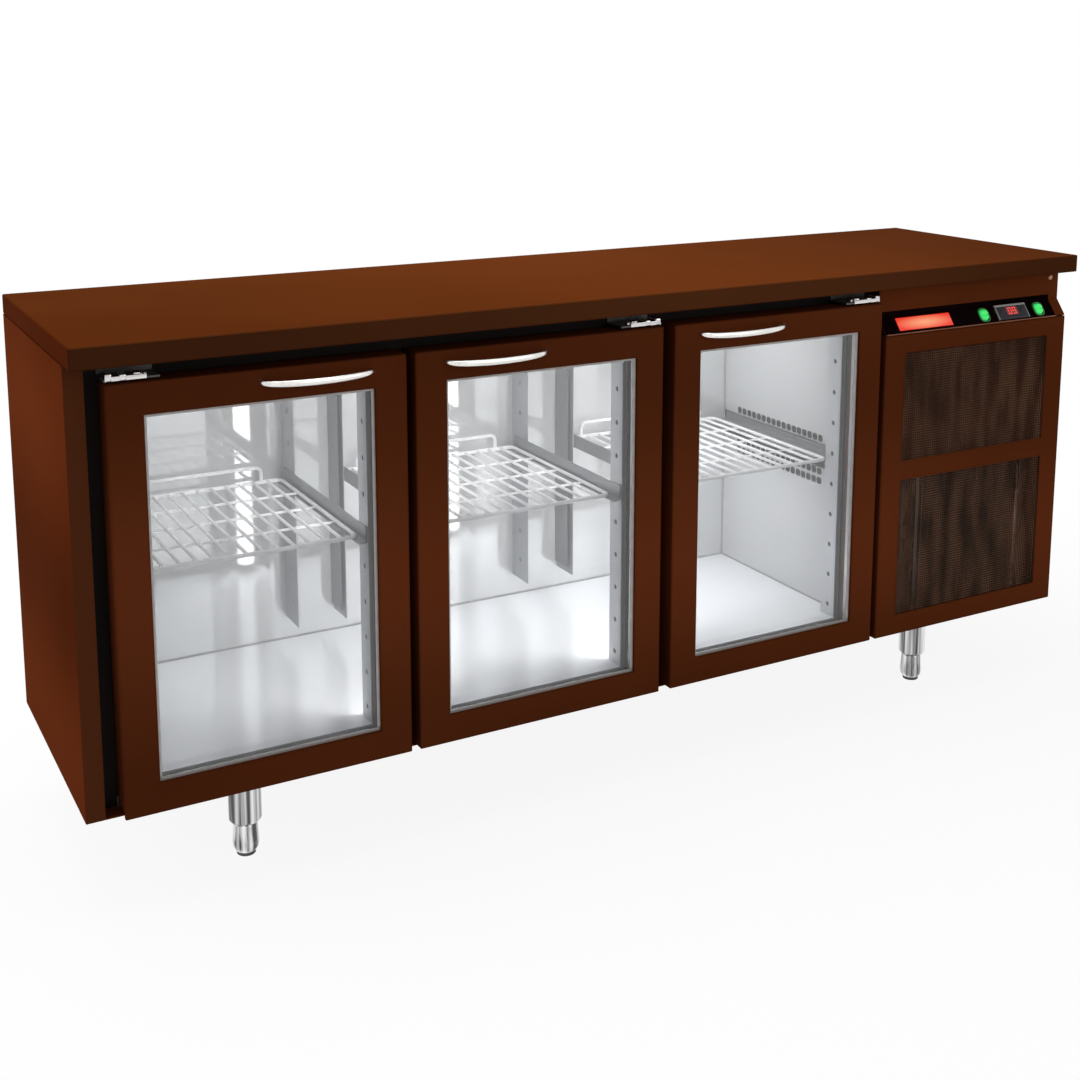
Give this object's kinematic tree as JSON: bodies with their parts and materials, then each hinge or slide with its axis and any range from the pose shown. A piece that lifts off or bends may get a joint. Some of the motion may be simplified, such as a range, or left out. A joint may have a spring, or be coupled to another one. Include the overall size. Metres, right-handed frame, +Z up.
{
  "type": "refrigerated bar counter",
  "caption": "Low refrigerated bar counter with glass doors in brown frames, wire shelves in a lit steel cabinet and a grilled cooling unit at one end, on chrome legs",
  "frame": {"origin": "on the floor, in the middle of the object's bounding box", "axes": "+X along the counter from the door end to the cooling unit, front (doors) towards -Y, +Z up"},
  "size_m": [1.835, 0.499, 0.83],
  "materials": {
    "brown_paint": "semi-gloss dark red-brown",
    "stainless": "polished stainless steel over foam",
    "plated_wire": "plated wire",
    "lamp_diffuser": "white diffuser",
    "fin_metal": "mill finish fins",
    "glass": "clear sealed unit",
    "rubber": "matt dark grey",
    "chrome": "bright chrome",
    "mesh_metal": "dark painted mesh",
    "black_plastic": "black",
    "green_plastic": "translucent green",
    "compressor_paint": "black"
  },
  "bodies": {
    "cabinet": {"countertop": "brown_paint", "left_side_panel": "brown_paint", "right_side_panel": "brown_paint", "back_panel": "brown_paint", "base_panel": "brown_paint", "grille_panel": "brown_paint", "control_panel": "brown_paint", "cold_liner": "stainless", "front_frame": "stainless", "rear_channel_1": "stainless", "rear_channel_2": "stainless", "evaporator_cover": "stainless", "shelf_rail_1_left": "stainless", "shelf_rail_1_right": "stainless", "shelf_rail_2_left": "stainless", "shelf_rail_2_right": "stainless", "shelf_rail_3_left": "stainless", "shelf_rail_3_right": "stainless", "wire_shelf_1": "plated_wire", "wire_shelf_2": "plated_wire", "wire_shelf_3": "plated_wire", "lamp_1": "lamp_diffuser", "lamp_2": "lamp_diffuser", "evaporator_coil": "fin_metal", "condenser": "fin_metal", "top_hinge_1": "chrome", "top_hinge_2": "chrome", "top_hinge_3": "chrome", "bottom_hinge_1": "chrome", "bottom_hinge_2": "chrome", "bottom_hinge_3": "chrome", "leg_front_left": "chrome", "leg_front_right": "chrome", "leg_rear_left": "chrome", "leg_rear_right": "chrome", "grille_mesh": "mesh_metal", "evaporator_fan_motor": "black_plastic", "thermostat": "black_plastic", "cord_gland": "black_plastic", "compressor": "compressor_paint"},
    "door_1": {"door_1_frame": "brown_paint", "door_1_glass": "glass", "door_1_gasket": "rubber", "door_1_handle": "chrome"},
    "door_2": {"door_2_frame": "brown_paint", "door_2_glass": "glass", "door_2_gasket": "rubber", "door_2_handle": "chrome"},
    "door_3": {"door_3_frame": "brown_paint", "door_3_glass": "glass", "door_3_gasket": "rubber", "door_3_handle": "chrome"},
    "power_switch": {"power_switch": "green_plastic"},
    "light_switch": {"light_switch": "green_plastic"},
    "condenser_fan": {"condenser_fan": "black_plastic"},
    "evaporator_fan": {"evaporator_fan": "black_plastic"},
    "foot_front_left": {"foot_front_left": "chrome"},
    "foot_front_right": {"foot_front_right": "chrome"},
    "foot_rear_left": {"foot_rear_left": "chrome"},
    "foot_rear_right": {"foot_rear_right": "chrome"}
  },
  "joints": [
    {"name": "door_1_hinge", "type": "hinge", "parent": "cabinet", "child": "door_1", "pos_m": [-0.8545, -0.2065, 0.154], "axis": [0, 0, -1], "range_deg": [0, 100]},
    {"name": "door_2_hinge", "type": "hinge", "parent": "cabinet", "child": "door_2", "pos_m": [-0.0025, -0.2065, 0.154], "axis": [0, 0, 1], "range_deg": [0, 100]},
    {"name": "door_3_hinge", "type": "hinge", "parent": "cabinet", "child": "door_3", "pos_m": [0.4525, -0.2065, 0.154], "axis": [0, 0, 1], "range_deg": [0, 100]},
    {"name": "power_switch_rocker", "type": "hinge", "parent": "cabinet", "child": "power_switch", "pos_m": [0.7195, -0.21165, 0.7279], "axis": [-1, 0, 0], "range_deg": [0, 16]},
    {"name": "light_switch_rocker", "type": "hinge", "parent": "cabinet", "child": "light_switch", "pos_m": [0.8575, -0.21165, 0.7279], "axis": [-1, 0, 0], "range_deg": [0, 16]},
    {"name": "condenser_fan_spin", "type": "hinge", "parent": "cabinet", "child": "condenser_fan", "pos_m": [0.7321, -0.1218, 0.295], "axis": [0, -1, 0], "continuous": true},
    {"name": "evaporator_fan_spin", "type": "hinge", "parent": "cabinet", "child": "evaporator_fan", "pos_m": [0.4914, 0.0245, 0.3], "axis": [-1, 0, 0], "continuous": true},
    {"name": "foot_front_left_screw", "type": "slide", "parent": "cabinet", "child": "foot_front_left", "axis": [0, 0, -1], "range_m": [0, 0.03]},
    {"name": "foot_front_right_screw", "type": "slide", "parent": "cabinet", "child": "foot_front_right", "axis": [0, 0, -1], "range_m": [0, 0.03]},
    {"name": "foot_rear_left_screw", "type": "slide", "parent": "cabinet", "child": "foot_rear_left", "axis": [0, 0, -1], "range_m": [0, 0.03]},
    {"name": "foot_rear_right_screw", "type": "slide", "parent": "cabinet", "child": "foot_rear_right", "axis": [0, 0, -1], "range_m": [0, 0.03]}
  ]
}
